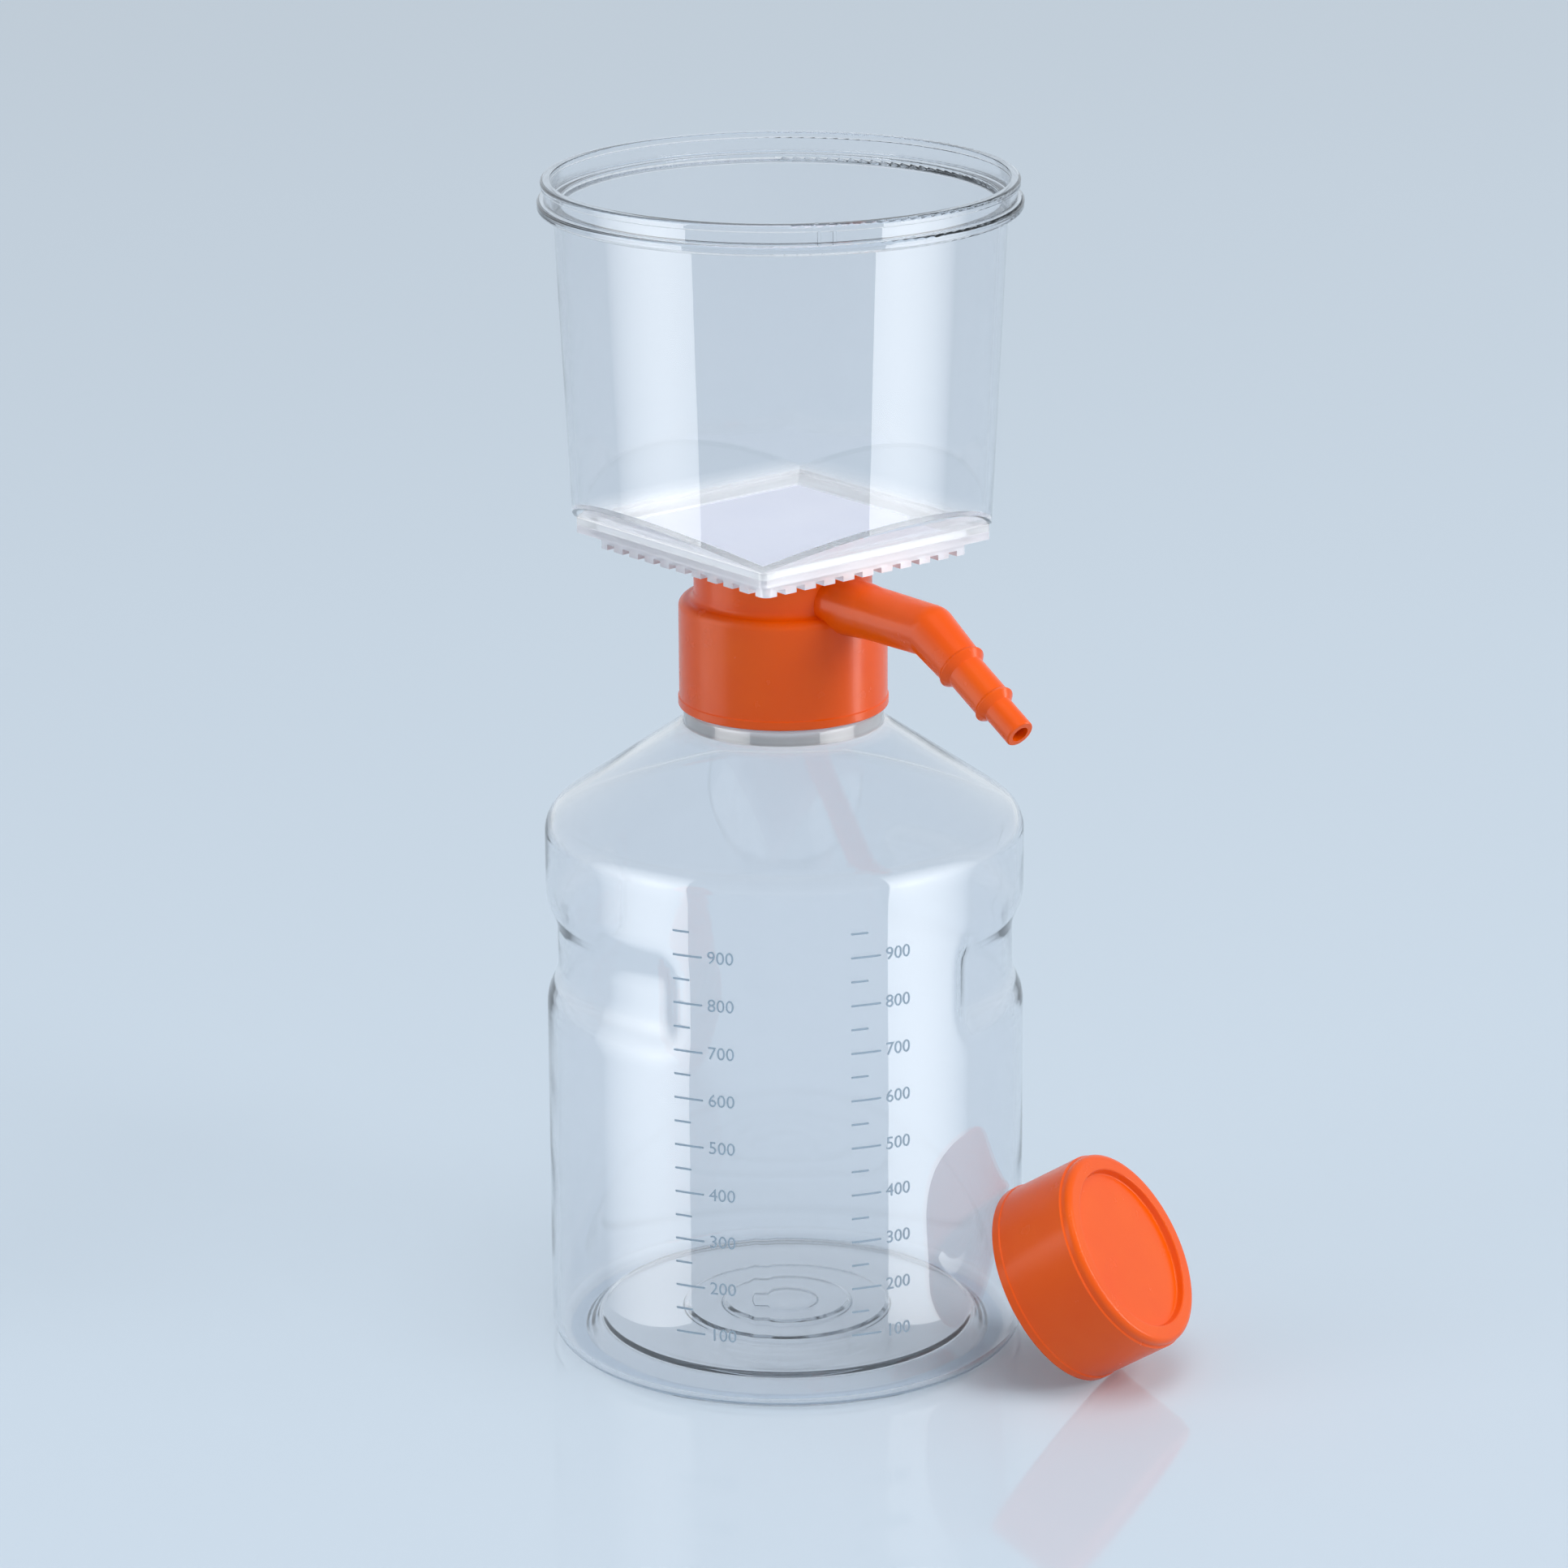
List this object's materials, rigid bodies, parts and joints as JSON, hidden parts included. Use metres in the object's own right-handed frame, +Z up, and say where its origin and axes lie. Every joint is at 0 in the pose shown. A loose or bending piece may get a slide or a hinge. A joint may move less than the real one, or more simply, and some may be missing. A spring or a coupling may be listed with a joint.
{
  "type": "vacuum filtration unit",
  "caption": "Bottle-top vacuum filter: clear round funnel with a square membrane on an orange screw adapter with a stepped hose arm, over a clear receiver bottle, with a loose cap.",
  "frame": {"origin": "centre of the bottle's foot, on the surface it stands on", "axes": "+Z up along the axis of bottle and funnel; the hose arm points about 50 degrees from +X towards -Y"},
  "size_m": [0.1483, 0.1196, 0.274],
  "materials": {
    "clear_bottle": "clear polystyrene, moulded, glossy",
    "clear_funnel": "clear polystyrene, moulded, glossy",
    "clear_plate": "clear polystyrene, moulded, glossy",
    "orange_moulding": "orange polyethylene, moulded, satin gloss",
    "orange_cap": "orange polyethylene, moulded, satin gloss",
    "membrane": "matt cast membrane",
    "gasket": "soft pale elastomer",
    "fibre_plug": "pressed white fibre"
  },
  "bodies": {
    "bottle": {"receiver_bottle": "clear_bottle", "storage_cap": "orange_cap"},
    "gasket": {"neck_gasket": "gasket"},
    "head": {"bottle_adapter": "orange_moulding", "vacuum_plug": "fibre_plug", "base_plate": "clear_plate", "filter_membrane": "membrane", "funnel": "clear_funnel"}
  },
  "joints": [
    {"name": "head_lift", "type": "slide", "parent": "bottle", "child": "gasket", "axis": [0, 0, 1], "range_m": [0, 0.00901]},
    {"name": "head_turn", "type": "hinge", "parent": "gasket", "child": "head", "pos_m": [0, 0, 0.1747], "axis": [0, 0, 1], "range_deg": [0, 540]}
  ],
  "couplings": [
    {"joint": "head_lift", "follows": "head_turn", "m_per_rad": 0.00095493}
  ]
}
